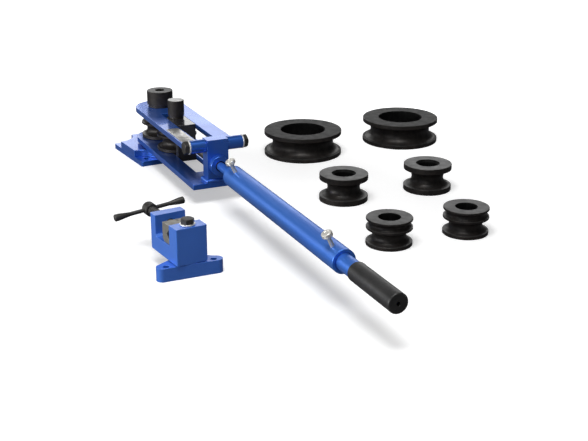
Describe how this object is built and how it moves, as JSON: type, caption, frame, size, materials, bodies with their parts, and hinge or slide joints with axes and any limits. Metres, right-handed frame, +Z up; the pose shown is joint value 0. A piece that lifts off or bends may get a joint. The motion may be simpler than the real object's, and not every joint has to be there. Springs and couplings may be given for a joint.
{
  "type": "pipe bender",
  "caption": "Hand pipe bender: forked lever swinging on a bolted base, screw-fed bending roller, extending handle, separate swivelling tube clamp and loose grooved rollers.",
  "frame": {"origin": "the pivot pin's axis on the underside of the base plate", "axes": "+Z up along the pivot pin, +X along the base plate's length towards the handle, +Y towards the loose rollers; the lever rests 5 degrees clockwise of +X seen from above"},
  "size_m": [1.0723, 0.8456, 0.1366],
  "materials": {
    "blue_paint": "gloss",
    "black_steel": "satin",
    "black_gloss": "gloss",
    "bright_steel": "brushed",
    "nickel": "gloss",
    "grip_rubber": "satin"
  },
  "bodies": {
    "base": {"base_plate": "blue_paint", "cross_plate": "blue_paint", "pivot_washer": "blue_paint"},
    "lever": {"lower_arm": "blue_paint", "post": "blue_paint", "screw_boss": "blue_paint", "upper_arm": "blue_paint", "hinge_bolt": "black_steel", "hinge_washers": "bright_steel", "hinge_nut": "black_steel"},
    "centre_pin": {"centre_pin": "black_steel"},
    "centre_roller": {"centre_roller": "black_steel"},
    "carriage": {"carriage": "black_gloss"},
    "roller_pin": {"roller_pin": "black_steel"},
    "follower": {"follower_roller": "black_steel", "follower_bush": "bright_steel"},
    "handle": {"feed_screw": "black_steel", "nose_collar": "bright_steel", "handle_bush": "blue_paint", "handle_tube": "blue_paint"},
    "thumb_far": {"thumb_screw_far": "nickel"},
    "thumb_near": {"thumb_screw_near": "nickel"},
    "extension": {"extension_tube": "blue_paint", "grip": "grip_rubber"},
    "clamp_flange": {"clamp_base": "blue_paint", "clamp_bolt": "black_steel", "clamp_washer": "bright_steel"},
    "clamp": {"clamp_body": "blue_paint"},
    "jaw": {"clamp_jaw": "bright_steel"},
    "clamp_screw": {"clamp_screw": "black_steel"},
    "cross_bar": {"clamp_t_bar": "black_steel"},
    "large_roller_a": {"large_roller_a": "black_steel"},
    "large_roller_b": {"large_roller_b": "black_steel"},
    "medium_roller_a": {"medium_roller_a": "black_steel"},
    "medium_roller_b": {"medium_roller_b": "black_steel"},
    "small_roller_a": {"small_roller_a": "black_steel"},
    "small_roller_b": {"small_roller_b": "black_steel"}
  },
  "joints": [
    {"name": "lever_swing", "type": "hinge", "parent": "base", "child": "lever", "pos_m": [0, 0, 0], "axis": [0, 0, 1], "range_deg": [-5, 35.5]},
    {"name": "centre_pin_lift", "type": "slide", "parent": "base", "child": "centre_pin", "axis": [0, 0, 1], "range_m": [0, 0.1]},
    {"name": "centre_roller_spin", "type": "hinge", "parent": "base", "child": "centre_roller", "pos_m": [0, 0, 0], "axis": [0, 0, 1], "continuous": true},
    {"name": "carriage_slide", "type": "slide", "parent": "lever", "child": "carriage", "axis": [0.9962, -0.0872, 0], "range_m": [-0.0161, 0.1001]},
    {"name": "roller_pin_lift", "type": "slide", "parent": "carriage", "child": "roller_pin", "axis": [0, 0, 1], "range_m": [0, 0.08]},
    {"name": "follower_spin", "type": "hinge", "parent": "carriage", "child": "follower", "pos_m": [0.09962, -0.00872, 0], "axis": [0, 0, 1], "continuous": true},
    {"name": "feed_screw_turn", "type": "hinge", "parent": "carriage", "child": "handle", "pos_m": [0.40147, -0.03512, 0.0705], "axis": [0.9962, -0.0872, 0], "range_deg": [-1440, 9000]},
    {"name": "thumb_far_turn", "type": "hinge", "parent": "handle", "child": "thumb_far", "pos_m": [0.43235, -0.03783, 0.0705], "axis": [-0.0361, -0.4131, 0.91], "range_deg": [0, 720]},
    {"name": "thumb_near_turn", "type": "hinge", "parent": "handle", "child": "thumb_near", "pos_m": [0.80791, -0.07068, 0.0705], "axis": [-0.0361, -0.4131, 0.91], "range_deg": [0, 720]},
    {"name": "extension_slide", "type": "slide", "parent": "handle", "child": "extension", "axis": [0.9962, -0.0872, 0], "range_m": [-0.035, 0.2]},
    {"name": "clamp_lift", "type": "slide", "parent": "base", "child": "clamp_flange", "axis": [0, 0, 1], "range_m": [0, 0.06]},
    {"name": "clamp_swivel", "type": "hinge", "parent": "clamp_flange", "child": "clamp", "pos_m": [0.612, -0.217, 0], "axis": [0, 0, 1], "range_deg": [0, 150]},
    {"name": "clamp_jaw_slide", "type": "slide", "parent": "clamp", "child": "jaw", "axis": [0.9997, 0.0262, 0], "range_m": [-0.0206, 0.0028]},
    {"name": "clamp_screw_turn", "type": "hinge", "parent": "jaw", "child": "clamp_screw", "pos_m": [0.52203, -0.21936, 0.064], "axis": [0.9997, 0.0262, 0], "range_deg": [-2460, 324]},
    {"name": "cross_bar_slide", "type": "slide", "parent": "clamp_screw", "child": "cross_bar", "axis": [-0.0261, 0.9966, 0.0785], "range_m": [-0.022, 0.022]},
    {"name": "large_roller_a_lift", "type": "slide", "parent": "base", "child": "large_roller_a", "axis": [0, 0, 1], "range_m": [0, 0.045]},
    {"name": "large_roller_b_lift", "type": "slide", "parent": "base", "child": "large_roller_b", "axis": [0, 0, 1], "range_m": [0, 0.045]},
    {"name": "medium_roller_a_lift", "type": "slide", "parent": "base", "child": "medium_roller_a", "axis": [0, 0, 1], "range_m": [0, 0.045]},
    {"name": "medium_roller_b_lift", "type": "slide", "parent": "base", "child": "medium_roller_b", "axis": [0, 0, 1], "range_m": [0, 0.045]},
    {"name": "small_roller_a_lift", "type": "slide", "parent": "base", "child": "small_roller_a", "axis": [0, 0, 1], "range_m": [0, 0.045]},
    {"name": "small_roller_b_lift", "type": "slide", "parent": "base", "child": "small_roller_b", "axis": [0, 0, 1], "range_m": [0, 0.045]}
  ],
  "couplings": [
    {"joint": "carriage_slide", "follows": "feed_screw_turn", "m_per_rad": 0.0006366},
    {"joint": "clamp_jaw_slide", "follows": "clamp_screw_turn", "m_per_rad": 0.0004774}
  ]
}
